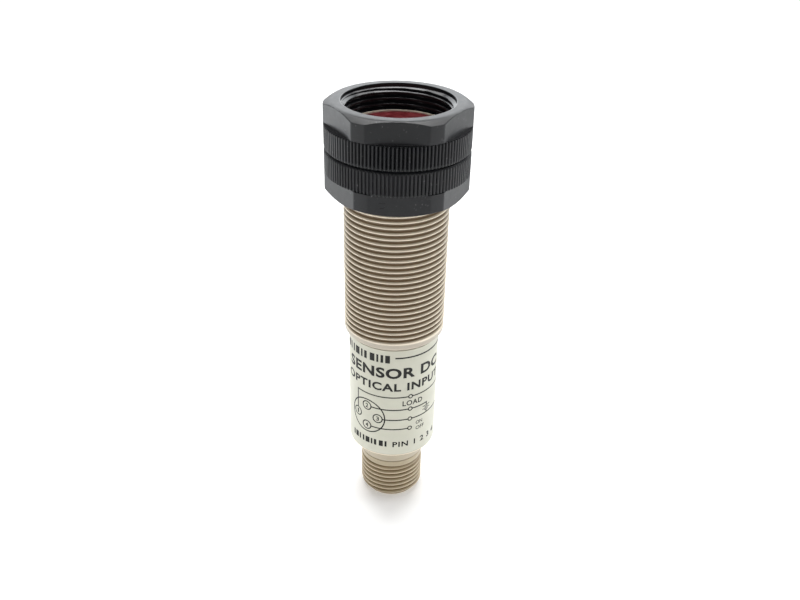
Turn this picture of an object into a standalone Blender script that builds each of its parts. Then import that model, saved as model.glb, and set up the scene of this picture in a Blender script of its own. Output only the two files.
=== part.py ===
"""Photoelectric sensor: M18 x 1 threaded plastic housing, M12 x 1 male
connector end, two black clamping nuts (hexagon with knurled ring), recessed
red front lens, and the optics and electronics inside.

Frame: +Z up along the sensor's axis, origin on the axis at the end face of
the connector, the label's print towards -Y.  Metres.
"""
import math

import bmesh
import bpy
from mathutils import Matrix, Vector

MM = 0.001

# ---------------------------------------------------------------- dimensions
# all in millimetres
PITCH = 1.0                 # both threads, M18 x 1 and M12 x 1, right hand
TURN_STEPS = 20             # segments in one turn of the large thread
SMALL_STEPS = 16            # segments in one turn of the connector thread
ROUND = 48                  # segments of a large turned piece
SMALL_ROUND = 16

BODY_TOP = 74.2             # front rim of the housing
THREAD_R = 9.0              # M18 crest
ROOT_R = 8.35
FRONT_CREST_Z = 39.0        # a crest crosses the -Y line at this height
THREAD_BOTTOM = 37.0        # runs out into the plain collar
THREAD_CLEAR = 0.22         # radial play of the nuts on the thread

REAR_BOTTOM = 12.5          # lower edge of the smooth rear section
REAR_R = 7.95               # under the label
REAR_EDGE_R = 8.17          # lower lip below the label
LABEL_BOTTOM = 12.85
LABEL_TOP = 36.15
LABEL_IN_R = 8.05
LABEL_OUT_R = 8.17
COLLAR_BOTTOM = 36.3
COLLAR_TOP = 37.95          # plain collar, as wide as the thread's crests
COLLAR_R = 9.03
NECK_R = 5.97
NECK_BOTTOM = 9.3
NECK_BORE_R = 5.15
BORE_R = 7.0
BORE_BOTTOM = 13.4
LENS_SEAT_Z = 71.0
LENS_SEAT_R = 7.55
RIM_BORE_R = 8.0            # the lens flange sits inside the rim, above a step
RIM_STEP_Z = 73.2

NUT_R = 12.05               # over the knurl and over the hexagon's corners
NUT_FLATS = 22.0            # across flats
NUT_HEIGHT = 7.6
UPPER_NUT_Z = 70.9          # underside, knurled ring
UPPER_RING = 3.95           # height of the ring
LOWER_NUT_Z = 63.0          # underside, hexagon
LOWER_RING = 3.8
LOWER_NUT_TURN = 2.3        # degrees, seen from above
KNURL_TEETH = 120
KNURL_DEPTH = 0.22
KNURL_PHASE = 0.8           # degrees
SEAT_GROOVE = (9.6, 11.25, 0.9)     # inner and outer radius, depth
SEAT_RING = (9.75, 11.1, 0.6)
UPPER_NUT_SHIFT = 0.0

PLUG_R = 5.95               # M12 crest
PLUG_ROOT_R = 5.35
PLUG_END_R = 5.2
PLUG_THREAD_TOP = 7.5
PLUG_CREST_Z = 0.15         # a crest crosses the -Y line at this height
PLUG_TOP = 9.0
SPIGOT_R = 4.95
SPIGOT_TOP = 13.6
SOCKET_R = 4.3
SOCKET_FLOOR = 8.2
STEM_BORE_R = 3.85
PIN_R = 0.5
PIN_CIRCLE_R = 2.5
PIN_TIP = 1.6
PIN_TAIL = 17.6

OPTIC_X = 3.2               # emitter at -X, receiver at +X

# ---------------------------------------------------------------- the file
for old in list(bpy.data.objects):
    bpy.data.objects.remove(old, do_unlink=True)
for old in list(bpy.data.collections):
    bpy.data.collections.remove(old)

parts = bpy.data.collections.new("photoelectric_sensor")
cutters = bpy.data.collections.new("cutters")
for c in (parts, cutters):
    bpy.context.scene.collection.children.link(c)


def material(name, colour, roughness, metallic=0.0):
    m = bpy.data.materials.new(name)
    m.use_nodes = True
    b = m.node_tree.nodes["Principled BSDF"]
    b.inputs["Base Color"].default_value = (*colour, 1.0)
    b.inputs["Roughness"].default_value = roughness
    b.inputs["Metallic"].default_value = metallic
    m.diffuse_color = (*colour, 1.0)
    return m


BEIGE = material("beige_plastic", (0.68, 0.60, 0.46), 0.5)
CONNECTOR = material("connector_plastic", (0.55, 0.47, 0.33), 0.5)
BLACK = material("black_plastic", (0.03, 0.03, 0.032), 0.42)
LABEL = material("label_film", (0.66, 0.66, 0.54), 0.45)
RED = material("red_window", (0.18, 0.012, 0.012), 0.15)
RUBBER = material("seal_rubber", (0.04, 0.04, 0.04), 0.8)
CLEAR = material("clear_lens", (0.75, 0.78, 0.8), 0.1)
MATT_BLACK = material("optic_black", (0.02, 0.02, 0.02), 0.7)
LED_RED = material("led_red", (0.7, 0.03, 0.02), 0.2)
CHIP = material("chip_black", (0.04, 0.04, 0.045), 0.55)
DIODE = material("photodiode_dark", (0.05, 0.03, 0.06), 0.3)
TIN = material("tinned_steel", (0.6, 0.6, 0.58), 0.35, 1.0)
BOARD = material("board_green", (0.02, 0.16, 0.06), 0.5)
TAN = material("capacitor_tan", (0.5, 0.3, 0.12), 0.5)
CERAMIC = material("resistor_ceramic", (0.08, 0.1, 0.14), 0.5)
AMBER = material("indicator_amber", (0.75, 0.4, 0.05), 0.25)
GUIDE = material("light_guide", (0.7, 0.7, 0.65), 0.2)
POTTING = material("potting_resin", (0.05, 0.05, 0.06), 0.35)
GOLD = material("gold_plate", (0.75, 0.55, 0.2), 0.3, 1.0)


# ---------------------------------------------------------------- helpers
def place(obj, home, mat=None):
    home.objects.link(obj)
    if home is cutters:
        obj.hide_render = True
        obj.display_type = "WIRE"
    if mat:
        obj.data.materials.append(mat)
    return obj


def from_bmesh(name, bm, home, mat=None):
    me = bpy.data.meshes.new(name)
    bm.to_mesh(me)
    bm.free()
    return place(bpy.data.objects.new(name, me), home, mat)


def profile_object(name, points, home, mat, closed):
    """A polyline in the XZ plane: outer side from top to bottom."""
    bm = bmesh.new()
    vs = [bm.verts.new((r * MM, 0, z * MM)) for r, z in points]
    for a, b in zip(vs, vs[1:] + (vs[:1] if closed else [])):
        if a is not b:
            bm.edges.new((a, b))
    return from_bmesh(name, bm, home, mat)


def turned(name, points, home=parts, mat=None, steps=ROUND, closed=None):
    """Turns a profile about Z.  A profile that starts and ends on the axis
    makes a solid piece, and any other is closed into a ring."""
    if closed is None:
        closed = points[0][0] > 0 or points[-1][0] > 0
    obj = profile_object(name, points, home, mat, closed)
    s = obj.modifiers.new("turn", "SCREW")
    s.axis = "Z"
    s.angle = 2 * math.pi
    s.steps = s.render_steps = steps
    s.use_merge_vertices = True
    s.merge_threshold = 0.00001
    s.use_smooth_shade = True
    return obj


def cylinder(name, r, z0, z1, home=cutters, mat=None, at=(0, 0), steps=SMALL_ROUND,
             r_top=None, spin=0.0):
    bm = bmesh.new()
    bmesh.ops.create_cone(bm, cap_ends=True, segments=steps, radius1=r * MM,
                          radius2=(r if r_top is None else r_top) * MM,
                          depth=(z1 - z0) * MM)
    obj = from_bmesh(name, bm, home, mat)
    obj.location = (at[0] * MM, at[1] * MM, (z0 + z1) / 2 * MM)
    obj.rotation_euler = (0, 0, math.radians(spin))
    return obj


def box(name, size, centre, home=cutters, mat=None, bevel=0.0):
    bm = bmesh.new()
    bmesh.ops.create_cube(bm, size=1.0)
    bmesh.ops.scale(bm, vec=[s * MM for s in size], verts=bm.verts)
    obj = from_bmesh(name, bm, home, mat)
    obj.location = [c * MM for c in centre]
    if bevel:
        b = obj.modifiers.new("edge", "BEVEL")
        b.width = bevel * MM
        b.segments = 1
    return obj


def boolean(obj, other, operation="DIFFERENCE"):
    m = obj.modifiers.new(operation.lower(), "BOOLEAN")
    m.operation = operation
    m.object = other
    m.solver = "EXACT"
    return obj


def plate(name, outline, thickness, mat, home=parts):
    """A flat outline in the XZ plane, given a thickness across Y."""
    bm = bmesh.new()
    bm.faces.new([bm.verts.new((x * MM, 0, z * MM)) for x, z in outline])
    obj = from_bmesh(name, bm, home, mat)
    s = obj.modifiers.new("thickness", "SOLIDIFY")
    s.thickness = thickness * MM
    s.offset = 0.0
    return obj


def thread_rod(name, crest, root, low, high, front_crest, steps):
    """A solid rod with a V thread.  A two-edge profile one pitch tall is
    screwed up the axis, and each end is closed by a fan to the axis."""
    start = front_crest + PITCH / 4           # the crest's height at +X
    start -= math.ceil(start - low) + 1
    turns = math.ceil(high - start) + 1
    obj = profile_object(name + "_profile", [
        (root, start + PITCH / 2), (crest, start), (root, start - PITCH / 2)],
        cutters, None, False)
    s = obj.modifiers.new("thread", "SCREW")
    s.axis = "Z"
    s.angle = 2 * math.pi
    s.screw_offset = PITCH * MM
    s.iterations = turns
    s.steps = s.render_steps = steps
    s.use_merge_vertices = False
    bpy.context.view_layer.update()
    seen = obj.evaluated_get(bpy.context.evaluated_depsgraph_get())
    me = bpy.data.meshes.new_from_object(seen)
    bpy.data.objects.remove(obj, do_unlink=True)
    bm = bmesh.new()
    bm.from_mesh(me)
    bmesh.ops.remove_doubles(bm, verts=bm.verts, dist=0.000002)
    open_edges = [e for e in bm.edges if e.is_boundary]
    middle = (start + turns * PITCH / 2) * MM
    for lower in (True, False):
        end = [e for e in open_edges
               if (sum(v.co.z for v in e.verts) / 2 < middle) == lower]
        z = (start - PITCH if lower else start + (turns + 1) * PITCH) * MM
        hub = bm.verts.new((0, 0, z))
        for e in end:
            bm.faces.new((*e.verts, hub))
    bmesh.ops.triangulate(bm, faces=bm.faces)
    bmesh.ops.recalc_face_normals(bm, faces=bm.faces)
    bpy.data.meshes.remove(me)
    return from_bmesh(name, bm, cutters)


# ---------------------------------------------------------------- housing
# M18 thread, trimmed to its chamfered ends
m18 = thread_rod("m18_thread", THREAD_R, ROOT_R, THREAD_BOTTOM, BODY_TOP,
                 FRONT_CREST_Z, TURN_STEPS)
m18_envelope = turned("m18_envelope", [
    (0, BODY_TOP), (8.55, BODY_TOP), (9.15, BODY_TOP - 0.6),
    (9.15, THREAD_BOTTOM + 1.35), (8.2, THREAD_BOTTOM + 0.35), (8.2, THREAD_BOTTOM - 0.4),
    (0, THREAD_BOTTOM - 0.4)], home=cutters, steps=TURN_STEPS)
boolean(m18, m18_envelope, "INTERSECT")

housing = turned("housing_barrel", [
    (0, COLLAR_TOP + 0.3), (8.25, COLLAR_TOP + 0.3), (COLLAR_R, COLLAR_TOP),
    (COLLAR_R, COLLAR_BOTTOM + 0.8), (8.6, COLLAR_BOTTOM + 0.3), (8.3, COLLAR_BOTTOM),
    (REAR_R, COLLAR_BOTTOM), (REAR_R, LABEL_BOTTOM - 0.15),
    (REAR_EDGE_R, LABEL_BOTTOM - 0.15), (REAR_EDGE_R - 0.1, REAR_BOTTOM),
    (NECK_R, REAR_BOTTOM), (NECK_R, NECK_BOTTOM), (0, NECK_BOTTOM)], mat=BEIGE)
boolean(housing, m18, "UNION")
barrel_bore = turned("barrel_bore", [
    (0, BODY_TOP + 1), (RIM_BORE_R, BODY_TOP + 1), (RIM_BORE_R, RIM_STEP_Z),
    (LENS_SEAT_R, RIM_STEP_Z), (LENS_SEAT_R, LENS_SEAT_Z), (BORE_R, LENS_SEAT_Z),
    (BORE_R, BORE_BOTTOM), (NECK_BORE_R, BORE_BOTTOM), (NECK_BORE_R, NECK_BOTTOM - 1),
    (0, NECK_BOTTOM - 1)], home=cutters)
boolean(housing, barrel_bore)
# hole for the indicator's light guide, at the back
INDICATOR_Z = 31.0
window_hole = cylinder("window_hole", 1.3, -3, 3, steps=20)
window_hole.rotation_euler = (math.radians(90), 0, 0)
window_hole.location = (0, 8.0 * MM, INDICATOR_Z * MM)
boolean(housing, window_hole)

label = turned("type_label", [
    (LABEL_OUT_R, LABEL_TOP), (LABEL_OUT_R, LABEL_BOTTOM),
    (LABEL_IN_R, LABEL_BOTTOM), (LABEL_IN_R, LABEL_TOP)], mat=LABEL)
boolean(label, window_hole)
label_slit = box("label_slit", (0.5, 4.0, 30.0), (2.5, 8.0, 24.5))
boolean(label, label_slit)

# ---------------------------------------------------------------- front optics
turned("front_lens", [
    (0, 74.0), (7.5, 74.0), (7.72, 73.93), (7.8, 73.8), (7.8, 73.5), (7.35, 73.5),
    (7.35, 71.9), (6.3, 71.9), (6.2, 71.5), (0, 71.5)], mat=RED, steps=ROUND)
turned("lens_seal", [
    (7.3, 71.65), (7.4, 71.4), (7.3, 71.15), (6.6, 71.15), (6.5, 71.4), (6.6, 71.65)],
    mat=RUBBER, steps=24)

holder = turned("optical_holder", [
    (0, 70.3), (6.75, 70.3), (6.75, 66.0), (6.55, 65.8), (6.55, 61.9), (0, 61.9)],
    mat=MATT_BLACK, steps=36)
for side, tag in ((-1, "emitter"), (1, "receiver")):
    boolean(holder, cylinder(f"{tag}_channel", 1.95, 61.0, 69.4, r_top=2.5,
                             at=(side * OPTIC_X, 0)))
    boolean(holder, cylinder(f"{tag}_lens_seat", 2.85, 69.2, 71.5,
                             at=(side * OPTIC_X, 0)))
    lens = turned(f"{tag}_lens", [(0, 70.75)] + [
        (2.6 * math.sin(a), 69.35 + 0.55 + 0.85 * math.cos(a))
        for a in [math.radians(15 * k) for k in range(1, 6)]] + [
        (2.7, 69.9), (2.7, 69.4), (0, 69.4)], mat=CLEAR, steps=SMALL_ROUND)
    lens.location.x = side * OPTIC_X * MM
boolean(holder, box("shield_pocket", (5.0, 5.0, 4.0), (OPTIC_X, 0, 62.9)))

led = turned("emitter_led", [(0, 65.4)] + [
    (1.5 * math.sin(a), 63.9 + 1.5 * math.cos(a))
    for a in [math.radians(18 * k) for k in range(1, 6)]] + [
    (1.5, 62.0), (1.8, 62.0), (1.8, 61.3), (0, 61.3)], mat=LED_RED, steps=16)
led.location.x = -OPTIC_X * MM

diode = box("receiver_photodiode", (2.6, 2.6, 1.1), (OPTIC_X, 0, 61.85), parts,
            DIODE, bevel=0.1)
dome = turned("photodiode_dome", [(0, 63.1)] + [
    (1.0 * math.sin(a), 62.2 + 0.9 * math.cos(a))
    for a in [math.radians(18 * k) for k in range(1, 6)]] + [
    (0.95, 62.0), (0, 62.0)], home=cutters, steps=16)
dome.location.x = OPTIC_X * MM
boolean(diode, dome, "UNION")

shield = box("receiver_shield", (4.4, 4.4, 3.2), (OPTIC_X, 0, 62.9), parts, TIN)
boolean(shield, box("shield_hollow", (3.9, 3.9, 4.0), (OPTIC_X, 0, 62.25)))
boolean(shield, cylinder("shield_window", 1.3, 63.5, 65.5, at=(OPTIC_X, 0), steps=16))

optics_pcb = cylinder("optics_pcb", 6.5, 60.0, 61.0, parts, BOARD, steps=32)
boolean(optics_pcb, box("tongue_slot", (3.6, 1.6, 3.0), (0, 0, 60.5)))

# ---------------------------------------------------------------- electronics
PCB_HALF = 6.3
plate("main_pcb", [
    (-PCB_HALF, 17.2), (-PCB_HALF + 1.0, 16.2), (PCB_HALF - 1.0, 16.2),
    (PCB_HALF, 17.2), (PCB_HALF, 58.4), (PCB_HALF - 0.8, 59.2), (1.5, 59.2),
    (1.5, 60.9), (-1.5, 60.9), (-1.5, 59.2), (-PCB_HALF + 0.8, 59.2),
    (-PCB_HALF, 58.4)], 1.0, BOARD)


def on_board(name, size, at, mat, front=True, bevel=0.12):
    """A part soldered to the main board: size across, deep, high."""
    x, z = at
    y = 0.7 + size[1] / 2
    return box(name, size, (x, -y if front else y, z), parts, mat, bevel)


on_board("control_ic", (6.0, 1.2, 6.0), (0, 48.0), CHIP)
on_board("output_transistor", (3.0, 1.4, 4.2), (-2.6, 27.0), CHIP)
on_board("protection_diode", (2.6, 1.8, 4.4), (2.8, 26.0), CHIP)
on_board("voltage_regulator", (3.4, 1.5, 3.4), (0.5, 38.5), CHIP)
on_board("supply_capacitor", (3.4, 2.6, 6.0), (-2.8, 38.5), TAN, front=False, bevel=0.2)
on_board("filter_capacitor", (1.8, 1.3, 3.2), (3.2, 42.0), TAN, front=False)
on_board("sense_resistor", (1.6, 0.8, 3.2), (2.6, 53.6), CERAMIC)
on_board("led_resistor", (1.6, 0.8, 3.2), (-3.0, 53.6), CERAMIC, front=False)
on_board("indicator_led", (1.6, 1.0, 1.6), (0, INDICATOR_Z), AMBER, front=False)

guide = turned("indicator_window", [
    (0, 8.12), (1.1, 8.12), (1.15, 8.05), (1.15, 6.9), (0.8, 6.7), (0.8, 2.4), (0, 2.4)],
    mat=GUIDE, steps=20)
guide.rotation_euler = (math.radians(-90), 0, 0)
guide.location = (0, 0, INDICATOR_Z * MM)

potting = cylinder("rear_potting", 6.7, 18.2, 21.0, parts, POTTING, steps=40)
boolean(potting, box("board_slot", (13.2, 1.7, 5.0), (0, 0, 19.6)))
# the slot leaves a bridge of resin at each end of the board
boolean(potting, box("resin_bridge", (3.2, 1.9, 2.0), (0, 0, 30.0)))

# ---------------------------------------------------------------- connector
m12 = thread_rod("m12_thread", PLUG_R, PLUG_ROOT_R, 0.0, PLUG_THREAD_TOP + 0.4,
                 PLUG_CREST_Z, SMALL_STEPS)
m12_envelope = turned("m12_envelope", [
    (0, PLUG_THREAD_TOP + 0.4), (5.3, PLUG_THREAD_TOP + 0.4),
    (5.3, PLUG_THREAD_TOP + 0.15), (6.0, PLUG_THREAD_TOP - 0.5), (6.0, 1.25),
    (PLUG_END_R, 0.0), (0, 0.0)], home=cutters, steps=2 * SMALL_STEPS)
boolean(m12, m12_envelope, "INTERSECT")
shell = turned("connector_shell", [
    (0, SPIGOT_TOP), (SPIGOT_R, SPIGOT_TOP), (SPIGOT_R, 12.0), (4.45, 12.0),
    (4.45, 10.4), (SPIGOT_R, 10.4), (SPIGOT_R, PLUG_TOP), (5.9, PLUG_TOP),
    (5.9, PLUG_THREAD_TOP + 0.2), (0, PLUG_THREAD_TOP + 0.2)], mat=CONNECTOR,
    steps=2 * SMALL_STEPS)
boolean(shell, m12, "UNION")
boolean(shell, turned("socket_bore", [
    (0, 15.0), (STEM_BORE_R, 15.0), (STEM_BORE_R, SOCKET_FLOOR),
    (SOCKET_R, SOCKET_FLOOR), (SOCKET_R, 0.3), (SOCKET_R + 0.4, -0.1), (0, -0.1)],
    home=cutters, steps=2 * SMALL_STEPS))
boolean(shell, box("coding_key", (1.2, 1.1, 6.6), (0, 4.15, 4.3)), "UNION")

turned("neck_seal", [
    (4.95, 11.7), (5.05, 11.2), (4.95, 10.7), (4.7, 10.7), (4.6, 11.2), (4.7, 11.7)],
    mat=RUBBER, steps=24)

carrier = turned("contact_carrier", [
    (0, 14.6), (4.8, 14.6), (4.8, 13.9), (3.7, 13.9), (3.7, 7.8), (3.5, 7.6), (0, 7.6)],
    mat=MATT_BLACK, steps=24)
for n in range(4):
    a = math.radians(45 + 90 * n)
    x, y = PIN_CIRCLE_R * math.cos(a), PIN_CIRCLE_R * math.sin(a)
    boolean(carrier, cylinder(f"pin_hole_{n + 1}", PIN_R + 0.14, 6.0, 16.0,
                              at=(x, y), steps=12))
    pin = turned(f"contact_pin_{n + 1}", [
        (0, PIN_TAIL), (PIN_R * 0.7, PIN_TAIL), (PIN_R * 0.7, 15.0), (PIN_R, 14.9),
        (PIN_R, PIN_TIP + 0.5), (PIN_R * 0.75, PIN_TIP + 0.15), (PIN_R * 0.4, PIN_TIP),
        (0, PIN_TIP)], mat=GOLD, steps=12)
    pin.location = (x * MM, y * MM, 0)


# ---------------------------------------------------------------- clamping nuts
def nut(name, seat_z, way, ring_height, turn, crest_z):
    """A hexagon and a knurled ring in one moulding.  way is +1 where the
    hexagon points up from the seat face, and -1 where it points down."""
    def z(h):
        return seat_z + way * h

    def ordered(points):
        return points if way > 0 else points[::-1]

    top = NUT_HEIGHT
    corner = NUT_R - 0.03
    chamfer = (corner - 10.75) * math.tan(math.radians(30))
    hexagon = turned(name, ordered([
        (0, z(top)), (10.75, z(top)), (corner, z(top - chamfer)),
        (corner, z(ring_height - 0.5)), (0, z(ring_height - 0.5))]), mat=BLACK, steps=60)
    flats = cylinder(name + "_flats", NUT_FLATS / math.sqrt(3), 0, NUT_HEIGHT * 2,
                     steps=6, spin=turn + 30)
    flats.location.z = z(ring_height + NUT_HEIGHT - 0.3) * MM
    boolean(hexagon, flats, "INTERSECT")

    # knurled ring: one V tooth every three degrees, softened at the seat edge
    bm = bmesh.new()
    rim = []
    for k in range(2 * KNURL_TEETH):
        r = (NUT_R if k % 2 == 0 else NUT_R - KNURL_DEPTH) * MM
        a = math.pi * k / KNURL_TEETH
        rim.append(bm.verts.new((r * math.cos(a), r * math.sin(a), 0)))
    face = bm.faces.new(rim)
    made = bmesh.ops.extrude_face_region(bm, geom=[face])
    bmesh.ops.translate(bm, vec=(0, 0, ring_height * MM),
                        verts=[v for v in made["geom"] if isinstance(v, bmesh.types.BMVert)])
    bmesh.ops.recalc_face_normals(bm, faces=bm.faces)
    ring = from_bmesh(name + "_knurl", bm, cutters)
    ring.location.z = min(z(0), z(ring_height)) * MM
    ring.rotation_euler.z = math.radians(turn + KNURL_PHASE)
    boolean(hexagon, ring, "UNION")

    rod = thread_rod(name + "_tap", THREAD_R + THREAD_CLEAR, ROOT_R + THREAD_CLEAR,
                     min(z(0), z(top)) - 0.5, max(z(0), z(top)) + 0.5, crest_z,
                     TURN_STEPS)
    boolean(hexagon, rod)
    # lead-in chamfers at both mouths of the bore
    lead = THREAD_R + 0.04
    boolean(hexagon, turned(name + "_lead_out", ordered([
        (0, z(top + 0.5)), (lead + 0.5, z(top + 0.5)), (8.37, z(top - 0.67)),
        (0, z(top - 0.67))]), home=cutters, steps=2 * TURN_STEPS))
    boolean(hexagon, turned(name + "_lead_in", ordered([
        (0, z(0.67)), (8.37, z(0.67)), (lead + 0.5, z(-0.5)), (0, z(-0.5))]),
        home=cutters, steps=2 * TURN_STEPS))
    # groove for the seat ring
    g_in, g_out, depth = SEAT_GROOVE
    boolean(hexagon, turned(name + "_groove", ordered([
        (g_out, z(depth)), (g_out, z(-0.5)), (g_in, z(-0.5)), (g_in, z(depth))]),
        home=cutters, steps=36))
    s_in, s_out, thick = SEAT_RING
    turned(name + "_seat_ring", ordered([
        (s_out, z(thick)), (s_out, z(0)), (s_in, z(0)), (s_in, z(thick))]),
        mat=BLACK, steps=36)
    return hexagon


nut("upper_nut", UPPER_NUT_Z, 1, UPPER_RING, 0.0, FRONT_CREST_Z)
nut("lower_nut", LOWER_NUT_Z + NUT_HEIGHT, -1, LOWER_RING, LOWER_NUT_TURN,
    FRONT_CREST_Z)

# round pieces are shaded smooth, with their edges kept sharp
for obj in parts.objects:
    if obj.type == "MESH" and not any(m.type == "SCREW" for m in obj.modifiers):
        for p in obj.data.polygons:
            p.use_smooth = False
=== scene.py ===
"""Looks of the photoelectric sensor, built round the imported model."""
import math

import bmesh
import bpy
from mathutils import Matrix, Vector


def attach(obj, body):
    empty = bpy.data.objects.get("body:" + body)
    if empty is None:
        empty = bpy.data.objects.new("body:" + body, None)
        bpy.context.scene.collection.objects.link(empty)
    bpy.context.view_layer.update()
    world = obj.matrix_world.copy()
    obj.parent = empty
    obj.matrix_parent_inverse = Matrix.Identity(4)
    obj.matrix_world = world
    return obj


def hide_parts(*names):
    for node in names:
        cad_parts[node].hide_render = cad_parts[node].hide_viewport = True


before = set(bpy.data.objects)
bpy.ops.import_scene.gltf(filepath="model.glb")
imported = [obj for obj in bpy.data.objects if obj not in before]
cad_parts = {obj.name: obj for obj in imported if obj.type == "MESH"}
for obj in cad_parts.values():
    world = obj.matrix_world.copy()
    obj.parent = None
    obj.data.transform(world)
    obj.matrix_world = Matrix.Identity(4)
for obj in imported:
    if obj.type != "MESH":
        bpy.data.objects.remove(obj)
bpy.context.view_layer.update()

MM = 0.001
TAU = 2 * math.pi
scene = bpy.context.scene


# ------------------------------------------------------------------ meshes
class Skin:
    """A closed surface made of rings of points, joined one after the other."""

    def __init__(self):
        self.v = []
        self.f = []
        self.last = None
        self.first = None

    def add(self, pts):
        i = len(self.v)
        self.v += pts
        ring = list(range(i, i + len(pts)))
        if self.last is not None:
            self.bridge(self.last, ring)
        else:
            self.first = ring
        self.last = ring
        return ring

    def bridge(self, a, b):
        na, nb = len(a), len(b)
        if na == nb:
            for j in range(na):
                k = (j + 1) % na
                self.f.append((a[j], a[k], b[k], b[j]))
            return
        if na < nb:
            a, b, na, nb = b, a, nb, na
        step = na // nb
        for j in range(nb):
            j2 = (j + 1) % nb
            run = [a[(j * step + i) % na] for i in range(step + 1)]
            half = step // 2
            for i in range(step):
                self.f.append((run[i], run[i + 1], b[j] if i < half else b[j2]))
            self.f.append((b[j], run[half], b[j2]))

    def close(self):
        self.bridge(self.last, self.first)

    def cap(self, ring, z):
        self.v.append((0.0, 0.0, z * MM))
        c = len(self.v) - 1
        for j in range(len(ring)):
            self.f.append((ring[j], ring[(j + 1) % len(ring)], c))

    def make(self, name, sharp=35.0):
        me = bpy.data.meshes.new(name)
        me.from_pydata(self.v, [], self.f)
        bm = bmesh.new()
        bm.from_mesh(me)
        bmesh.ops.recalc_face_normals(bm, faces=bm.faces)
        bm.to_mesh(me)
        bm.free()
        return finish_mesh(name, me, sharp)


def finish_mesh(name, me, sharp=35.0):
    for p in me.polygons:
        p.use_smooth = True
    me.set_sharp_from_angle(angle=math.radians(sharp))
    o = bpy.data.objects.new(name, me)
    scene.collection.objects.link(o)
    return o


def circle(n, r, z, spin=0.0):
    """r is a number or a function of the angle."""
    out = []
    for j in range(n):
        a = TAU * j / n + spin
        q = (r(a) if callable(r) else r) * MM
        out.append((q * math.cos(a), q * math.sin(a), z * MM))
    return out


def rounded(points, radius=0.12, steps=3, closed=False):
    """A polyline in (r, z) with its corners rounded."""
    out = []
    n = len(points)
    for i, p in enumerate(points):
        if not closed and i in (0, n - 1):
            out.append(p[:2])
            continue
        a, b = points[i - 1], points[(i + 1) % n]
        rad = radius
        if len(p) > 2:
            rad = p[2]
        P, A, B = Vector(p[:2]), Vector(a[:2]), Vector(b[:2])
        la, lb = (A - P).length, (B - P).length
        u, w = (A - P).normalized(), (B - P).normalized()
        turn = math.acos(max(-1, min(1, -u.dot(w))))
        if turn < 0.03 or rad <= 0:
            out.append(tuple(P))
            continue
        cut = min(rad * math.tan(turn / 2), 0.45 * la, 0.45 * lb)
        s, e = P + u * cut, P + w * cut
        for k in range(steps + 1):
            t = k / steps
            q = s * (1 - t) ** 2 + P * (2 * t * (1 - t)) + e * t * t
            out.append(tuple(q))
    return out


def smin(a, b, k):
    h = max(0.0, min(1.0, 0.5 + 0.5 * (b - a) / k))
    return b * (1 - h) + a * h - k * h * (1 - h)


def smax(a, b, k):
    return -smin(-a, -b, k)


TAN30 = math.tan(math.radians(30))


def outer_thread(crest, root, front_z, flat=0.07, soft=0.05):
    """Radius of a right-hand thread of 1 mm pitch, with a crest at front_z on -Y."""
    def r(a, z):
        c = front_z + (a + math.pi / 2) / TAU
        w = abs((z - c + 0.5) % 1.0 - 0.5)
        v = crest - (w - flat) / TAN30
        return smax(smin(v, crest, soft), root, soft)
    return r


def inner_thread(crest, deep, inner, front_z, flat=0.13, soft=0.05):
    def r(a, z):
        c = front_z + (a + math.pi / 2) / TAU
        w = abs((z - c + 0.5) % 1.0 - 0.5)
        v = crest - (w - flat) / TAN30
        return smax(smin(v, deep, soft), inner, soft)
    return r


def rows(z0, z1, step):
    n = max(1, int(round(abs(z1 - z0) / step)))
    return [z0 + (z1 - z0) * i / n for i in range(n + 1)]


# ------------------------------------------------------------------ materials
def tree(name):
    m = bpy.data.materials.new(name)
    m.use_nodes = True
    nt = m.node_tree
    return m, nt, nt.nodes["Principled BSDF"]


def node(nt, kind, **props):
    n = nt.nodes.new(kind)
    for k, v in props.items():
        if k in n.inputs:
            n.inputs[k].default_value = v
        else:
            setattr(n, k, v)
    return n


def noise(nt, coord, scale, detail=3.0, rough=0.5, stretch=None):
    src = coord
    if stretch:
        mp = node(nt, "ShaderNodeMapping")
        mp.inputs["Scale"].default_value = stretch
        nt.links.new(coord, mp.inputs["Vector"])
        src = mp.outputs["Vector"]
    n = node(nt, "ShaderNodeTexNoise")
    n.inputs["Scale"].default_value = scale
    n.inputs["Detail"].default_value = detail
    n.inputs["Roughness"].default_value = rough
    nt.links.new(src, n.inputs["Vector"])
    return n.outputs["Fac"]


def ramp(nt, fac, stops):
    n = node(nt, "ShaderNodeValToRGB")
    els = n.color_ramp.elements
    while len(els) < len(stops):
        els.new(0.5)
    for e, (p, c) in zip(els, stops):
        e.position = p
        e.color = (*c, 1.0)
    nt.links.new(fac, n.inputs["Fac"])
    return n.outputs["Color"]


def mapped(nt, fac, lo, hi, a=0.0, b=1.0):
    n = node(nt, "ShaderNodeMapRange")
    n.inputs["From Min"].default_value = a
    n.inputs["From Max"].default_value = b
    n.inputs["To Min"].default_value = lo
    n.inputs["To Max"].default_value = hi
    nt.links.new(fac, n.inputs["Value"])
    return n.outputs["Result"]


def mixed(nt, fac, a, b, mode="MIX"):
    n = node(nt, "ShaderNodeMix", data_type="RGBA", blend_type=mode)
    if isinstance(fac, float):
        n.inputs[0].default_value = fac
    else:
        nt.links.new(fac, n.inputs[0])
    for i, x in ((6, a), (7, b)):
        if isinstance(x, tuple):
            n.inputs[i].default_value = (*x, 1.0)
        else:
            nt.links.new(x, n.inputs[i])
    return n.outputs[2]


def math_node(nt, op, a, b=None):
    n = node(nt, "ShaderNodeMath", operation=op)
    for i, x in enumerate((a, b)):
        if x is None:
            continue
        if isinstance(x, (int, float)):
            n.inputs[i].default_value = x
        else:
            nt.links.new(x, n.inputs[i])
    return n.outputs[0]


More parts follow.
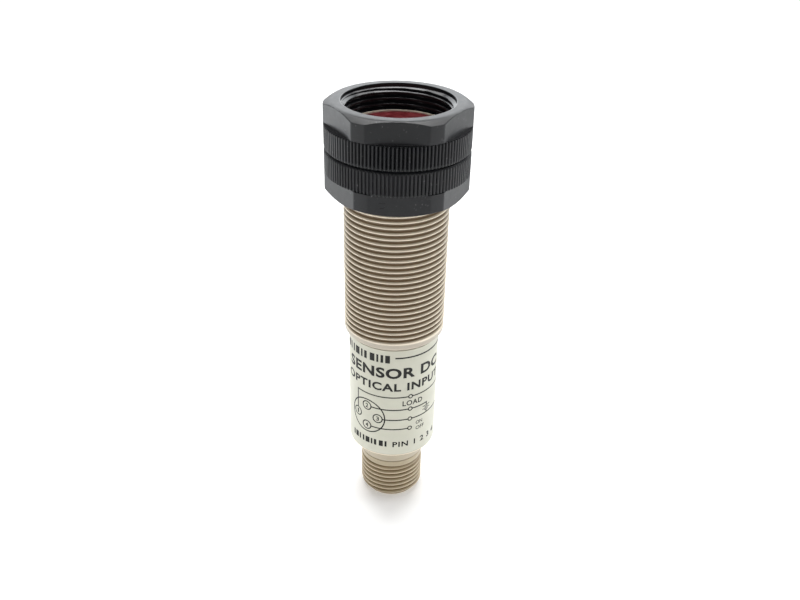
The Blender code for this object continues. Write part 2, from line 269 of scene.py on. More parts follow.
def bump(nt, height, strength, distance, after=None):
    n = node(nt, "ShaderNodeBump")
    n.inputs["Strength"].default_value = strength
    n.inputs["Distance"].default_value = distance
    nt.links.new(height, n.inputs["Height"])
    if after is not None:
        nt.links.new(after, n.inputs["Normal"])
    return n.outputs["Normal"]


def coords(nt):
    return node(nt, "ShaderNodeTexCoord").outputs["Object"]


def radius(nt, co):
    s = node(nt, "ShaderNodeSeparateXYZ")
    nt.links.new(co, s.inputs[0])
    xx = math_node(nt, "MULTIPLY", s.outputs[0], s.outputs[0])
    yy = math_node(nt, "MULTIPLY", s.outputs[1], s.outputs[1])
    return math_node(nt, "SQRT", math_node(nt, "ADD", xx, yy)), s.outputs[2]


def plastic(name, light, dark, rough=(0.38, 0.5), fine=5200.0, fine_bump=0.12,
            depth=(), spec=0.5, waves=0.05, dust=0.0, gloss=None):
    """Moulded plastic: slow colour drift, fine grain, faint flow ripples.
    depth: painted shade, a darker colour laid where shade falls in grooves and recesses: (inner radius,
    outer radius, shade colour, from z, to z), any number.
    gloss: (radius, roughness) of a smoother bore."""
    m, nt, b = tree(name)
    co = coords(nt)
    slow = noise(nt, co, 160.0, 2.0)
    grain = noise(nt, co, fine, 2.0, 0.6)
    col = ramp(nt, slow, [(0.3, dark), (0.7, light)])
    col = mixed(nt, mapped(nt, grain, 0.0, 0.16), col, dark)
    r, height = radius(nt, co)
    # painted shade: each depth entry darkens the colour inside a radius over a height band, standing in
    # for shade in grooves and recesses
    for inner, outer, shade_colour, low, high in depth:
        f = mapped(nt, r, 1.0, 0.0, inner * MM, outer * MM)
        f = math_node(nt, "MULTIPLY", f, mapped(nt, height, 0.0, 1.0, (low - 0.25) * MM, low * MM))
        f = math_node(nt, "MULTIPLY", f, mapped(nt, height, 1.0, 0.0, high * MM, (high + 0.25) * MM))
        col = mixed(nt, f, col, shade_colour)
    if dust:
        specks = mapped(nt, noise(nt, co, 1900.0, 4.0, 0.7), 0.0, dust, 0.645, 0.72)
        if gloss:
            specks = math_node(nt, "MULTIPLY", specks,
                               mapped(nt, r, 0.0, 1.0, gloss[0] * MM, (gloss[0] + 0.1) * MM))
        col = mixed(nt, specks, col, (0.35, 0.35, 0.36))
    nt.links.new(col, b.inputs["Base Color"])
    rn = mapped(nt, noise(nt, co, 900.0, 3.0), *rough)
    if gloss:
        near = mapped(nt, r, 1.0, 0.0, gloss[0] * MM, (gloss[0] + 0.1) * MM)
        away = math_node(nt, "SUBTRACT", 1.0, near)
        rn = math_node(nt, "ADD", math_node(nt, "MULTIPLY", rn, away),
                       math_node(nt, "MULTIPLY", near, gloss[1]))
        grain = math_node(nt, "MULTIPLY", grain, mapped(nt, away, 0.03, 1.0))
    nt.links.new(rn, b.inputs["Roughness"])
    b.inputs["Specular IOR Level"].default_value = spec
    swell = noise(nt, co, 420.0, 1.0)
    if gloss:
        swell = math_node(nt, "MULTIPLY", swell, mapped(nt, away, 0.0, 1.0))
    n = bump(nt, swell, waves, 0.00006)
    nt.links.new(bump(nt, grain, fine_bump, 0.00002, n), b.inputs["Normal"])
    return m


def give(name, mat):
    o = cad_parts[name] if isinstance(name, str) else name
    o.data.materials.clear()
    o.data.materials.append(mat)
    if hasattr(o, "material_slots"):
        for s in o.material_slots:
            s.material = mat
    return o


# painted highlight and painted shade: the base colours are lighter than the plastic's own to brighten
# the thread crests, and the depth entries lay painted shade into the thread grooves, on the collar below
# the thread and on the neck below the housing's lower edge
BEIGE = plastic("housing_beige", (0.88, 0.795, 0.645), (0.82, 0.73, 0.585), rough=(0.36, 0.5),
                depth=((8.64, 8.995, (0.165, 0.115, 0.065), 38.0, 73.4),
                       (9.05, 9.06, (0.45, 0.40, 0.325), 36.1, 37.7),
                       (6.0, 6.3, (0.43, 0.375, 0.28), 9.0, 12.6)))
# painted shade: the depth entries darken the plug's thread grooves and the band above the thread, where
# shade falls
BEIGE_PLAIN = plastic("plug_beige", (0.55, 0.46, 0.32), (0.495, 0.405, 0.275),
                      rough=(0.36, 0.5), depth=((5.5, 5.92, (0.17, 0.115, 0.05), 0.6, 7.7),
                                                (5.95, 6.05, (0.40, 0.335, 0.225), 8.0, 9.3)))
BLACK = plastic("nut_black", (0.0085, 0.009, 0.0105), (0.006, 0.0065, 0.0075),
                rough=(0.32, 0.44), fine=4200.0, fine_bump=0.22, spec=0.34, waves=0.1, dust=0.28,
                gloss=(9.3, 0.17))
INSERT = plastic("insert_black", (0.03, 0.03, 0.03), (0.02, 0.02, 0.02), rough=(0.5, 0.62))
HOLDER = plastic("optic_black", (0.016, 0.016, 0.017), (0.01, 0.01, 0.01), rough=(0.65, 0.8))
RUBBER = plastic("seal_rubber", (0.03, 0.03, 0.03), (0.02, 0.02, 0.02), rough=(0.7, 0.85))
INK = plastic("label_ink", (0.014, 0.014, 0.012), (0.009, 0.009, 0.008), rough=(0.45, 0.6),
              fine=7000.0, fine_bump=0.05, spec=0.25)


# ------------------------------------------------------------------ housing
BODY_TOP = 74.2
N = 96
thread = outer_thread(9.0, 8.4, 39.0, flat=0.06, soft=0.045)


def envelope(z):
    return min(9.2, 8.45 + (BODY_TOP - z) * 1.1)


def run_out(z):
    """The last groove fills up to the plain collar below it."""
    return 8.99 - max(0.0, z - 38.0) * 2.3


sk = Skin()
rim = rounded([(7.56, 71.05), (7.56, 73.2, 0.05), (8.22, 73.2, 0.05), (8.22, BODY_TOP, 0.05),
               (8.42, BODY_TOP, 0.07), (8.5, BODY_TOP - 0.08)], 0.1)
for r, z in rim:
    sk.add(circle(N, r, z))
for z in rows(BODY_TOP - 0.1, 37.9, 0.05):
    e = envelope(z)
    sk.add(circle(N, (lambda a, z=z, e=e: smax(smin(thread(a, z), e, 0.05), run_out(z), 0.04)), z))
tail = rounded([(9.0, 37.8), (9.0, 37.05, 0.2), (8.62, 36.62, 0.12), (8.24, 36.32, 0.05),
                (7.98, 36.3, 0.03), (7.98, 12.72, 0.03), (8.14, 12.7, 0.03),
                (8.1, 12.5, 0.1), (6.0, 12.5, 0.12), (5.97, 9.22, 0.06), (5.2, 9.22, 0.05),
                (5.15, 13.4, 0.05), (7.0, 13.4, 0.05), (7.0, 71.0, 0.05),
                (7.56, 71.0, 0.02)], 0.1)
for r, z in tail:
    sk.add(circle(N, r, z))
sk.close()
housing = sk.make("housing_skin")
# hole for the indicator's light guide, at the back
hole = bpy.data.meshes.new("hole")
bm = bmesh.new()
bmesh.ops.create_cone(bm, cap_ends=True, segments=48, radius1=1.3 * MM, radius2=1.3 * MM,
                      depth=5 * MM)
bmesh.ops.rotate(bm, verts=bm.verts, matrix=Matrix.Rotation(math.pi / 2, 3, "X"))
bmesh.ops.translate(bm, verts=bm.verts, vec=(0, 8.0 * MM, 31.0 * MM))
bm.to_mesh(hole)
bm.free()
cutter = bpy.data.objects.new("hole", hole)
scene.collection.objects.link(cutter)


def cut(obj, tool):
    m = obj.modifiers.new("cut", "BOOLEAN")
    m.operation = "DIFFERENCE"
    m.object = tool
    m.solver = "EXACT"
    bpy.context.view_layer.update()
    ev = obj.evaluated_get(bpy.context.evaluated_depsgraph_get())
    me = bpy.data.meshes.new_from_object(ev)
    obj.modifiers.remove(m)
    old = obj.data
    obj.data = me
    bpy.data.meshes.remove(old)
    for p in me.polygons:
        p.use_smooth = True
    me.set_sharp_from_angle(angle=math.radians(35))


cut(housing, cutter)
give(housing, BEIGE)
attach(housing, "sensor")
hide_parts("housing_barrel")

# ------------------------------------------------------------------ plug end
plug_thread = outer_thread(5.95, 5.42, 0.15, flat=0.12, soft=0.08)


def plug_envelope(z):
    return min(6.0, 5.02 + z * 0.72, 5.42 + max(0.0, 7.62 - z) * 1.1)


sk = Skin()
for r, z in rounded([(3.85, 8.2), (4.3, 8.2, 0.02), (4.3, 0.25, 0.1), (4.5, 0.0, 0.06),
                     (4.99, 0.0, 0.05), (5.06, 0.06)], 0.05):
    sk.add(circle(N, r, z))
for z in rows(0.1, 7.7, 0.05):
    e = plug_envelope(z)
    sk.add(circle(N, (lambda a, z=z, e=e: smin(plug_thread(a, z), e, 0.06)), z))
for r, z in rounded([(5.42, 7.72), (5.86, 7.85, 0.1), (5.9, 9.02, 0.08), (4.95, 9.04, 0.03),
                     (4.95, 13.6, 0.1), (3.85, 13.6, 0.05), (3.85, 8.25)], 0.05):
    sk.add(circle(N, r, z))
sk.close()
plug = sk.make("plug_skin")
give(plug, BEIGE_PLAIN)
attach(plug, "sensor")
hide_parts("connector_shell")

# coding key inside the plug
bm = bmesh.new()
bmesh.ops.create_cube(bm, size=1.0)
bmesh.ops.scale(bm, vec=(1.2 * MM, 0.8 * MM, 6.6 * MM), verts=bm.verts)
bmesh.ops.bevel(bm, geom=bm.edges[:], offset=0.12 * MM, segments=2, affect="EDGES")
bmesh.ops.translate(bm, vec=(0, 3.98 * MM, 4.3 * MM), verts=bm.verts)
me = bpy.data.meshes.new("plug_key")
bm.to_mesh(me)
bm.free()
key = finish_mesh("plug_key", me)
give(key, BEIGE_PLAIN)
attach(key, "sensor")

# ------------------------------------------------------------------ nuts
NUT_R = 12.05
FLAT = 11.0
TEETH = 120
COLS = 720
TOP = 7.6


def nut(name, seat_z, way, ring, turn, crest_z):
    spin = math.radians(turn)
    sk = Skin()

    def z(h):
        return seat_z + way * h

    def hexagon(a, h):
        """Outline of the hexagon at height h: corner arcs, flats, 30 degree chamfer."""
        b = (a - spin + math.pi / 2 + math.pi / 6) % (math.pi / 3) - math.pi / 6
        s = max(0.0002, (TOP - h) / TAN30)
        cham = 10.8 + 0.16 * math.log(math.exp(s / 0.16) - 1) if s < 6 else 10.8 + s
        return smin(smin(FLAT / math.cos(b), NUT_R, 0.07), cham, 0.06)

    def knurl(a, depth):
        t = ((a - spin) * TEETH / TAU) % 1.0
        # flat land, V groove
        w = abs(t - 0.5)
        g = max(0.0, 1.0 - w / 0.29)
        return NUT_R - depth * g

    # inside of the bore, from the seat face up, is added last
    h_seat = rounded([(9.35, 0.0), (9.45, -0.08, 0.03), (11.72, -0.08, 0.03), (11.84, 0.04, 0.03),
                      (11.87, 0.06, 0.0)], 0.03, 2)
    sk.add(circle(N // 2 * 3, h_seat[0][0], z(h_seat[0][1])))
    first = sk.first
    for r, h in h_seat[1:3]:
        sk.add(circle(N // 2 * 3, r, z(h)))
    for r, h in h_seat[3:]:
        sk.add(circle(COLS, r, z(h)))
    # smooth band below the teeth, then the teeth
    for h, back in [(0.08, 0.14), (0.13, 0.09), (0.26, 0.035), (0.42, 0.0)]:
        sk.add(circle(COLS, (lambda a, k=back: max(knurl(a, 0.36) - k, 11.8)), z(h)))
    for h in rows(0.6, ring - 0.25, 0.8):
        sk.add(circle(COLS, (lambda a: knurl(a, 0.36)), z(h)))
    for h, back in [(ring - 0.1, 0.0), (ring - 0.04, 0.03), (ring, 0.09)]:
        sk.add(circle(COLS, (lambda a, k=back: knurl(a, 0.36) - k), z(h)))
    # flat ledge in to the hexagon's foot
    sk.add(circle(COLS, (lambda a: min(hexagon(a, ring) + 0.06, knurl(a, 0.36) - 0.1)), z(ring + 0.003)))
    for h in [ring + 0.06] + rows(ring + 0.2, TOP - 0.9, 0.5) + rows(TOP - 0.8, TOP - 0.2, 0.06):
        sk.add(circle(COLS, (lambda a, h=h: hexagon(a, h)), z(h)))
    # the crown rounds over from the chamfer to the flat top
    for r in (11.0, 10.85, 10.7, 10.55, 10.4, 10.25, 10.1, 9.9, 9.7):
        drop = TAN30 * 0.16 * math.log(1 + math.exp((r - 10.8) / 0.16))
        sk.add(circle(COLS, (lambda a, r=r, d=drop: min(r, hexagon(a, TOP - d))), z(TOP - drop)))
    # top face, then the threaded bore down to the seat
    m = N // 2 * 3
    for r, h in [(9.5, TOP), (9.32, TOP), (9.25, TOP - 0.02), (9.22, TOP - 0.07)]:
        sk.add(circle(m, r, z(h)))
    bore = inner_thread(9.0, 9.1, 8.52, crest_z, flat=0.09, soft=0.07)

    def mouth(h):
        return max(min(9.2, 9.2 - (TOP - h - 0.58) * 1.73), 9.3 - (h - 0.03) * 1.2, 8.5)
    for h in rows(TOP - 0.1, 0.1, 0.04):
        e = mouth(h)
        sk.add(circle(m, (lambda a, h=h, e=e: smax(bore(a, z(h)), e, 0.05)), z(h)))
    sk.bridge(sk.last, first)
    o = sk.make(name + "_skin", sharp=32.0)
    give(o, BLACK)
    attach(o, name)
    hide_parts(name, name + "_seat_ring")
    return o


nut("upper_nut", 70.9, 1, 3.95, 0.0, 39.0)
nut("lower_nut", 70.6, -1, 3.8, 2.3, 39.0)

# small moulded cavity mark, a plain raised square, on the lower nut's front flat
bm = bmesh.new()
for half, depth_y in ((0.5, 0),):
    outer = [(-half, -half), (half, -half), (half, half), (-half, half)]
    k = half - 0.17
    inner = [(-k, -k), (k, -k), (k, k), (-k, k)]
    vs = {}
    for tag, ring_pts in (("o", outer), ("i", inner)):
        for lay, y in (("f", -11.045), ("b", -10.9)):
            vs[tag, lay] = [bm.verts.new(((x - 2.6) * MM, y * MM, (64.95 + z) * MM))
                            for x, z in ring_pts]
    for i in range(4):
        j = (i + 1) % 4
        for p, q in ((("o", "f"), ("i", "f")), (("i", "f"), ("i", "b")),
                     (("i", "b"), ("o", "b")), (("o", "b"), ("o", "f"))):
            bm.faces.new((vs[p][i], vs[p][j], vs[q][j], vs[q][i]))
bmesh.ops.recalc_face_normals(bm, faces=bm.faces)
bmesh.ops.bevel(bm, geom=bm.edges[:], offset=0.03 * MM, segments=2, affect="EDGES")
bmesh.ops.rotate(bm, verts=bm.verts, matrix=Matrix.Rotation(math.radians(2.3), 3, "Z"))
me = bpy.data.meshes.new("lower_nut_mark")
bm.to_mesh(me)
bm.free()
mark = finish_mesh("lower_nut_mark", me)
give(mark, BLACK)
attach(mark, "lower_nut")

# ------------------------------------------------------------------ label
LABEL_R = 8.165
sk = Skin()
LAP = (math.radians(168), math.radians(182))     # where the film overlaps itself


def film(r):
    def at(a):
        return r + (0.035 if r > 8.1 and LAP[0] < a % TAU < LAP[1] else 0.0)
    return at


for r, z in rounded([(8.03, 12.78), (LABEL_R, 12.78, 0.03), (LABEL_R, 36.1, 0.03),
                     (8.03, 36.1)], 0.03, 2):
    sk.add(circle(N * 4, film(r), z))
sk.close()
label = sk.make("label_skin")
cut(label, cutter)
m, nt, b = tree("label_film")
co = coords(nt)
blotch = noise(nt, co, 300.0, 3.0)
fibre = noise(nt, co, 3800.0, 2.0, 0.6)
col = ramp(nt, blotch, [(0.35, (0.535, 0.53, 0.44)), (0.65, (0.573, 0.567, 0.473))])
col = mixed(nt, mapped(nt, fibre, 0.0, 0.22), col, (0.495, 0.492, 0.40))
nt.links.new(col, b.inputs["Base Color"])
nt.links.new(mapped(nt, noise(nt, co, 1500.0), 0.34, 0.48), b.inputs["Roughness"])
nt.links.new(bump(nt, fibre, 0.06, 0.00002), b.inputs["Normal"])
give(label, m)
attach(label, "sensor")
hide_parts("type_label")
bpy.data.objects.remove(cutter, do_unlink=True)

# printed marks: thin raised ink, drawn flat (u across, v = height) and wrapped
INK_IN, INK_OUT = LABEL_R - 0.004, LABEL_R + 0.006


def wrap(u, v, r):
    a = -math.pi / 2 + u / LABEL_R
    return (r * MM * math.cos(a), r * MM * math.sin(a), v * MM)


class Ink:
    def __init__(self):
        self.bm = bmesh.new()

    def quads(self, rail_a, rail_b, closed=False):
        """A strip between two rows of (u, v) points, given a thickness."""
        n = len(rail_a)
        v = {}
        for key, rail in (("a", rail_a), ("b", rail_b)):
            for lay, r in (("in", INK_IN), ("out", INK_OUT)):
                v[key, lay] = [self.bm.verts.new(wrap(u, w, r)) for u, w in rail]
        for i in range(n if closed else n - 1):
            j = (i + 1) % n
            for p, q in ((("a", "out"), ("b", "out")), (("b", "out"), ("b", "in")),
                         (("b", "in"), ("a", "in")), (("a", "in"), ("a", "out"))):
                self.bm.faces.new((v[p][i], v[p][j], v[q][j], v[q][i]))
        if not closed:
            for i in (0, n - 1):
                self.bm.faces.new((v["a", "out"][i], v["b", "out"][i],
                                   v["b", "in"][i], v["a", "in"][i]))

    def bar(self, u0, u1, v0, v1):
        us = rows(u0, u1, 0.3)
        self.quads([(u, v0) for u in us], [(u, v1) for u in us])

    def line(self, pts, width=0.16):
        """A pen line through points, one strip with mitred corners."""
        h = width / 2
        fine = [Vector(pts[0])]
        for a, b in zip(pts, pts[1:]):
            a, b = Vector(a), Vector(b)
            k = max(1, int((b - a).length / 0.35))
            fine += [a.lerp(b, (i + 1) / k) for i in range(k)]
        left, right = [], []
        for i, p in enumerate(fine):
            d = Vector((0, 0))
            if i:
                d += (p - fine[i - 1]).normalized()
            if i < len(fine) - 1:
                d += (fine[i + 1] - p).normalized()
            d.normalize()
            k = 1.0
            if 0 < i < len(fine) - 1:
                e = (fine[i + 1] - p).normalized()
                k = 1 / max(0.5, d.dot(e))
            nrm = Vector((-d.y, d.x)) * h * k
            left.append(tuple(p + nrm))
            right.append(tuple(p - nrm))
        self.quads(left, right)

    def ring(self, u, v, r, width=0.16, n=32):
        pts = [(math.cos(TAU * i / n), math.sin(TAU * i / n)) for i in range(n)]
        self.quads([(u + (r - width / 2) * x, v + (r - width / 2) * y) for x, y in pts],
                   [(u + (r + width / 2) * x, v + (r + width / 2) * y) for x, y in pts], True)

    def text(self, words, u0, u1, v0, v1, bold=0.0, space=1.0):
        """Letters from Blender's own font, fitted to the box and wrapped."""
        size = (v1 - v0) / 0.7
        cu = bpy.data.curves.new("t", "FONT")
        cu.body = words
        cu.size = size
        cu.offset = bold
        cu.space_character = space
        cu.align_x = "CENTER"
        cu.align_y = "CENTER"
        cu.resolution_u = 4
        o = bpy.data.objects.new("t", cu)
        scene.collection.objects.link(o)
        bpy.context.view_layer.update()
        me = bpy.data.meshes.new_from_object(
            o.evaluated_get(bpy.context.evaluated_depsgraph_get()))
        bpy.data.objects.remove(o, do_unlink=True)
        tb = bmesh.new()
        tb.from_mesh(me)
        bmesh.ops.remove_doubles(tb, verts=tb.verts, dist=0.0005)
        xs = [p.co.x for p in tb.verts]
        ys = [p.co.y for p in tb.verts]
        kx, ky = (u1 - u0) / (max(xs) - min(xs)), (v1 - v0) / (max(ys) - min(ys))
        ox, oy = u0 - min(xs) * kx, v0 - min(ys) * ky
        for p in tb.verts:
            p.co.x, p.co.y = ox + p.co.x * kx, oy + p.co.y * ky
        bmesh.ops.triangulate(tb, faces=tb.faces)
        for _ in range(2):
            long = [e for e in tb.edges if e.calc_length() > 0.6]
            if long:
                bmesh.ops.subdivide_edges(tb, edges=long, cuts=1)
                bmesh.ops.triangulate(tb, faces=tb.faces)
        out = {}
        inn = {}
        for p in tb.verts:
            out[p] = self.bm.verts.new(wrap(p.co.x, p.co.y, INK_OUT))
            inn[p] = self.bm.verts.new(wrap(p.co.x, p.co.y, INK_IN))
        for f in tb.faces:
            self.bm.faces.new([out[p] for p in f.verts])
            self.bm.faces.new([inn[p] for p in reversed(f.verts)])
        for e in tb.edges:
            if e.is_boundary:
                p, q = e.verts
                self.bm.faces.new((out[p], out[q], inn[q], inn[p]))
        tb.free()
        bpy.data.meshes.remove(me)

    def make(self, name):
        bmesh.ops.recalc_face_normals(self.bm, faces=self.bm.faces)
        me = bpy.data.meshes.new(name)
        self.bm.to_mesh(me)
        self.bm.free()
        o = finish_mesh(name, me)
        give(o, INK)
        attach(o, "sensor")
        return o


heads = Ink()
# a plain row of strokes, a ruled line, then generic words
u = -11.8
for w, g in ((0.45, 0.4), (0.9, 0.35), (0.4, 0.6), (0.45, 0.35), (1.1, 0.4), (0.4, 0.4),
             (0.6, 0.65), (0.95, 0.35), (0.4, 0.4), (0.5, 0.35), (0.85, 0.0)):
    heads.bar(u, u + w, 33.5, 35.1)
    u += w + g
heads.line([(0.4, 34.6), (12.6, 34.6)], 0.3)
heads.text("SENSOR DC", -9.8, 10.6, 30.2, 32.45, bold=0.115, space=1.08)
heads.text("OPTICAL INPUT", -10.4, 11.0, 27.4, 29.15, bold=0.085, space=1.12)
heads.make("label_heading_print")

wiring = Ink()
PEN = 0.25
CU, CV, CR = -4.95, 20.95, 3.62
LEADS = (26.0, 23.2, 20.9, 18.75)
wiring.ring(CU, CV, CR, PEN, 64)
pins = {"1": (-7.2, 20.9), "2": (-4.95, 23.2), "3": (-2.7, 20.9), "4": (-4.95, 18.75)}
for word, (pu, pv) in pins.items():
    wiring.ring(pu, pv, 0.9, PEN * 0.9, 28)
    half = 0.16 if word == "1" else 0.3
    wiring.text(word, pu - half, pu + half, pv - 0.48, pv + 0.48, bold=0.03)
wiring.line([(-7.2, 21.85), (-7.2, LEADS[0]), (3.05, LEADS[0])], PEN)
wiring.line([(3.8, LEADS[0]), (11.6, LEADS[0])], PEN)
wiring.line([(-4.05, LEADS[1]), (3.05, LEADS[1])], PEN)
wiring.line([(3.8, LEADS[1]), (7.2, LEADS[1]), (7.2, 22.55)], PEN)
wiring.line([(-1.8, LEADS[2]), (3.05, LEADS[2])], PEN)
wiring.line([(3.8, LEADS[2]), (7.2, LEADS[2]), (7.2, 21.5)], PEN)
wiring.line([(7.2, LEADS[2]), (11.2, LEADS[2])], PEN)
wiring.line([(-4.05, LEADS[3]), (3.05, LEADS[3])], PEN)
for v in LEADS:
    wiring.ring(3.42, v, 0.38, PEN * 0.85, 24)
for v, w in ((22.5, 1.0), (22.18, 0.5), (21.86, 1.0), (21.54, 0.5)):
    wiring.bar(7.2 - w, 7.2 + w, v - 0.08, v + 0.08)
wiring.text("LOAD", 1.9, 6.0, 24.0, 25.15, bold=0.035, space=1.1)
wiring.text("ON", 4.7, 6.2, 19.15, 19.95, bold=0.015)
wiring.text("OFF", 4.7, 6.7, 17.85, 18.65, bold=0.015)
# bottom row: strokes again, then the key to the pins
u = -8.6
for w, g in ((0.4, 0.3), (0.8, 0.3), (0.35, 0.5), (0.4, 0.3), (0.9, 0.3), (0.35, 0.3),
             (0.5, 0.5), (0.8, 0.3), (0.4, 0.0)):
    wiring.bar(u, u + w, 14.65, 15.95)
    u += w + g
wiring.text("PIN 1 2 3 4", 0.2, 10.2, 14.6, 15.85, bold=0.05, space=1.15)
# round the back: ruled frame with short rows of marks, and a pointer to the light
for v in (17.2, 20.4, 23.6, 26.8):
    wiring.line([(15.2, v), (22.8, v)], 0.16)
for u in (15.2, 18.6, 22.8):
    wiring.line([(u, 17.2), (u, 26.8)], 0.16)
for k, v in enumerate((18.25, 21.45, 24.65)):
    wiring.ring(16.9, v + 0.55, 0.62, 0.16, 24)
    wiring.text("+-0"[k], 16.65, 17.15, v + (0.47 if k == 1 else 0.2), v + (0.63 if k == 1 else 0.9),
                bold=0.01)
    u = 19.1
    for w in ((0.9, 0.5, 1.2), (0.6, 1.3, 0.5), (1.2, 0.4, 0.8))[k]:
        wiring.bar(u, u + w, v + 0.15, v + 0.95)
        u += w + 0.25
wiring.ring(25.65, 31.0, 1.75, 0.2, 48)
wiring.line([(20.2, 31.0), (23.2, 31.0)], 0.2)
wiring.line([(22.5, 31.55), (23.2, 31.0), (22.5, 30.45)], 0.2)
wiring.text("LIGHT", 15.6, 19.6, 30.45, 31.55, bold=0.02, space=1.1)
for v in (33.2, 34.4):
    wiring.line([(15.2, v), (30.0, v)], 0.2)
for v in (15.2, 13.9):
    wiring.line([(14.2, v), (30.0, v)], 0.16)
wiring.make("label_wiring_print")

# ------------------------------------------------------------------ window
m, nt, b = tree("red_window")
co = coords(nt)
cloud = noise(nt, co, 700.0, 4.0, 0.6)
nt.links.new(ramp(nt, cloud, [(0.36, (0.085, 0.0085, 0.0105)), (0.64, (0.21, 0.039, 0.044))]),
             b.inputs["Base Color"])
nt.links.new(mapped(nt, noise(nt, co, 2500.0), 0.06, 0.16), b.inputs["Roughness"])
b.inputs["Transmission Weight"].default_value = 0.2
b.inputs["IOR"].default_value = 1.49
sk = Skin()
prof = rounded([(0.4, 74.1), (7.4, 74.1, 0.4), (8.12, 74.06, 0.08), (8.18, 73.95, 0.05),
                (8.18, 73.4, 0.05), (7.42, 73.4, 0.05), (7.42, 71.95, 0.05), (6.4, 71.95, 0.05),
                (6.3, 71.55, 0.05), (0.4, 71.55)], 0.05)
for r, z in prof:
    sk.add(circle(N, r, z))
sk.cap(sk.first, 74.1)
sk.cap(sk.last, 71.55)
window = sk.make("front_window")
give(window, m)
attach(window, "sensor")
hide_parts("front_lens")

# ------------------------------------------------------------------ inner pieces
give("lens_seal", RUBBER)
give("neck_seal", RUBBER)
give("optical_holder", HOLDER)
give("contact_carrier", INSERT)


def resin(name, light, dark, rough=(0.15, 0.25), trans=0.0, scale=900.0):
    m, nt, b = tree(name)
    co = coords(nt)
    nt.links.new(ramp(nt, noise(nt, co, scale, 3.0), [(0.35, dark), (0.65, light)]),
                 b.inputs["Base Color"])
    nt.links.new(mapped(nt, noise(nt, co, 2600.0), *rough), b.inputs["Roughness"])
    nt.links.new(bump(nt, noise(nt, co, 1700.0), 0.05, 0.00002), b.inputs["Normal"])
    b.inputs["Transmission Weight"].default_value = trans
    return m


clear = resin("clear_optic", (0.86, 0.88, 0.9), (0.8, 0.82, 0.84), (0.03, 0.08), 0.9)
for n in ("emitter_lens", "receiver_lens"):
    give(n, clear)
give("emitter_led", resin("led_red", (0.75, 0.05, 0.03), (0.55, 0.02, 0.02), (0.08, 0.16), 0.3))
give("receiver_photodiode", resin("diode_dark", (0.05, 0.025, 0.06), (0.03, 0.015, 0.04)))
give("indicator_led", resin("indicator_amber", (0.85, 0.45, 0.06), (0.7, 0.33, 0.03)))
give("indicator_window", resin("light_guide", (0.78, 0.76, 0.7), (0.7, 0.68, 0.6), (0.12, 0.22), 0.4))
give("rear_potting", resin("potting", (0.05, 0.05, 0.055), (0.03, 0.03, 0.034), (0.2, 0.35)))
chip = resin("chip_black", (0.05, 0.05, 0.052), (0.03, 0.03, 0.032), (0.5, 0.65))
for n in ("control_ic", "output_transistor", "protection_diode", "voltage_regulator"):
    give(n, chip)
tan = resin("capacitor_tan", (0.55, 0.33, 0.13), (0.45, 0.26, 0.09), (0.4, 0.55))
for n in ("supply_capacitor", "filter_capacitor"):
    give(n, tan)
ceramic = resin("resistor_dark", (0.09, 0.1, 0.14), (0.05, 0.06, 0.09), (0.3, 0.45))
for n in ("sense_resistor", "led_resistor"):
    give(n, ceramic)


def metal(name, light, dark, rough):
    m, nt, b = tree(name)
    co = coords(nt)
    nt.links.new(ramp(nt, noise(nt, co, 800.0, 4.0), [(0.3, dark), (0.7, light)]),
                 b.inputs["Base Color"])
    b.inputs["Metallic"].default_value = 1.0
    streak = noise(nt, co, 2600.0, 2.0, 0.5, (1.0, 1.0, 0.08))
    nt.links.new(mapped(nt, streak, *rough), b.inputs["Roughness"])
    nt.links.new(bump(nt, streak, 0.08, 0.00001), b.inputs["Normal"])
    return m


give("receiver_shield", metal("tinned_steel", (0.7, 0.7, 0.68), (0.55, 0.55, 0.54), (0.28, 0.42)))
gold = metal("gold_contact", (0.86, 0.64, 0.26), (0.74, 0.52, 0.18), (0.18, 0.32))
for i in range(1, 5):
    give(f"contact_pin_{i}", gold)

m, nt, b = tree("board_green")
co = coords(nt)
w = node(nt, "ShaderNodeTexWave", wave_type="BANDS", bands_direction="DIAGONAL")
w.inputs["Scale"].default_value = 420.0
w.inputs["Distortion"].default_value = 6.0
nt.links.new(co, w.inputs["Vector"])
tracks = ramp(nt, w.outputs["Fac"], [(0.62, (0.012, 0.11, 0.04)), (0.7, (0.03, 0.2, 0.075))])
nt.links.new(mixed(nt, mapped(nt, noise(nt, co, 2400.0), 0.0, 0.3), tracks, (0.01, 0.08, 0.03)),
             b.inputs["Base Color"])
nt.links.new(mapped(nt, noise(nt, co, 1500.0), 0.25, 0.4), b.inputs["Roughness"])
nt.links.new(bump(nt, w.outputs["Fac"], 0.1, 0.00003), b.inputs["Normal"])
for n in ("main_pcb", "optics_pcb"):
    give(n, m)

# ------------------------------------------------------------------ stage
bm = bmesh.new()
bmesh.ops.create_grid(bm, x_segments=2, y_segments=2, size=1.5)
me = bpy.data.meshes.new("floor")
bm.to_mesh(me)
bm.free()
floor = bpy.data.objects.new("floor", me)
scene.collection.objects.link(floor)
m, nt, b = tree("floor_white")
co = coords(nt)
nt.links.new(ramp(nt, noise(nt, co, 3.0), [(0.4, (0.92, 0.92, 0.92)), (0.6, (0.94, 0.94, 0.94))]),
             b.inputs["Base Color"])
b.inputs["Roughness"].default_value = 0.9
b.inputs["Specular IOR Level"].default_value = 0.1
b.inputs["Emission Color"].default_value = (1, 1, 1, 1)
b.inputs["Emission Strength"].default_value = 0.16
floor.data.materials.append(m)

world = bpy.data.worlds.new("studio")
scene.world = world
world.use_nodes = True
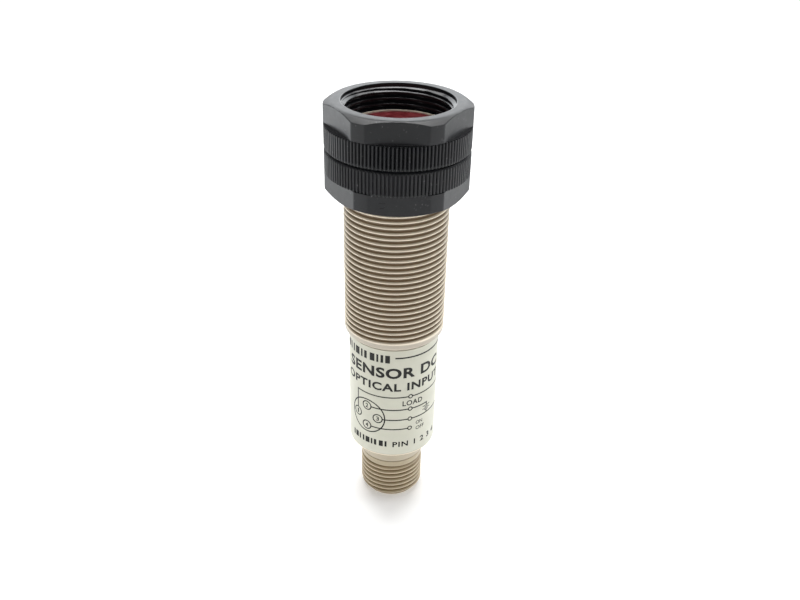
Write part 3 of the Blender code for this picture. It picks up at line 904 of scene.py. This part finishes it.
# a pale horizon that fades to a dim ceiling
wt = world.node_tree
sep = node(wt, "ShaderNodeSeparateXYZ")
wt.links.new(node(wt, "ShaderNodeTexCoord").outputs["Generated"], sep.inputs[0])
sky = ramp(wt, sep.outputs[2], [(0.0, (0.9, 0.9, 0.9)), (0.07, (0.85, 0.85, 0.86)),
                                (0.24, (0.16, 0.16, 0.165)), (1.0, (0.12, 0.12, 0.125))])
wt.links.new(sky, wt.nodes["Background"].inputs["Color"])
wt.nodes["Background"].inputs["Strength"].default_value = 1.0


def softbox(name, at, size, radiance, colour=(1, 1, 1), target=(0, 0, 0.045)):
    li = bpy.data.lights.new(name, "AREA")
    li.shape = "RECTANGLE"
    li.size, li.size_y = size
    li.energy = radiance * math.pi * size[0] * size[1]
    li.color = colour
    o = bpy.data.objects.new(name, li)
    scene.collection.objects.link(o)
    o.location = at
    o.rotation_euler = (Vector(target) - Vector(at)).to_track_quat("-Z", "Y").to_euler()
    return o


softbox("front_left", (-0.30, -0.30, 0.15), (0.25, 0.3), 1.92)
softbox("front_right", (0.30, -0.30, 0.15), (0.25, 0.3), 1.5)
softbox("side_left", (-0.22, 0.06, 0.03), (0.2, 0.12), 2.6, (0.94, 0.98, 1.0))
softbox("side_right", (0.40, 0.08, 0.14), (0.3, 0.35), 2.5, (0.94, 0.98, 1.0))
softbox("top_box", (0.0, 0.095, 0.42), (0.26, 0.12), 12.5)
softbox("top_front", (0.0, -0.02, 0.42), (0.26, 0.03), 9.0)
softbox("top_left", (-0.19, 0.22, 0.42), (0.13, 0.14), 5.5)
softbox("top_right", (0.19, 0.22, 0.42), (0.13, 0.14), 5.5)
softbox("back_box", (0.0, 0.6, 0.35), (0.7, 0.4), 3.0, (0.95, 0.98, 1.0))

# ------------------------------------------------------------------ camera
cam = bpy.data.cameras.new("camera")
cam.sensor_width = 36.0
cam.lens = 855.84 / 800 * 36.0
cam.clip_start = 0.005
cam.clip_end = 10.0
co = bpy.data.objects.new("camera", cam)
scene.collection.objects.link(co)
co.location = (0.9645 * MM, -132.968 * MM, 119.05 * MM)
pitch = math.radians(30.157)
roll = math.radians(1.39)
co.rotation_euler = (Matrix.Rotation(math.pi / 2 - pitch, 4, "X")
                     @ Matrix.Rotation(roll, 4, "Z")).to_euler()
scene.camera = co
scene.view_settings.view_transform = "Standard"
scene.view_settings.look = "None"
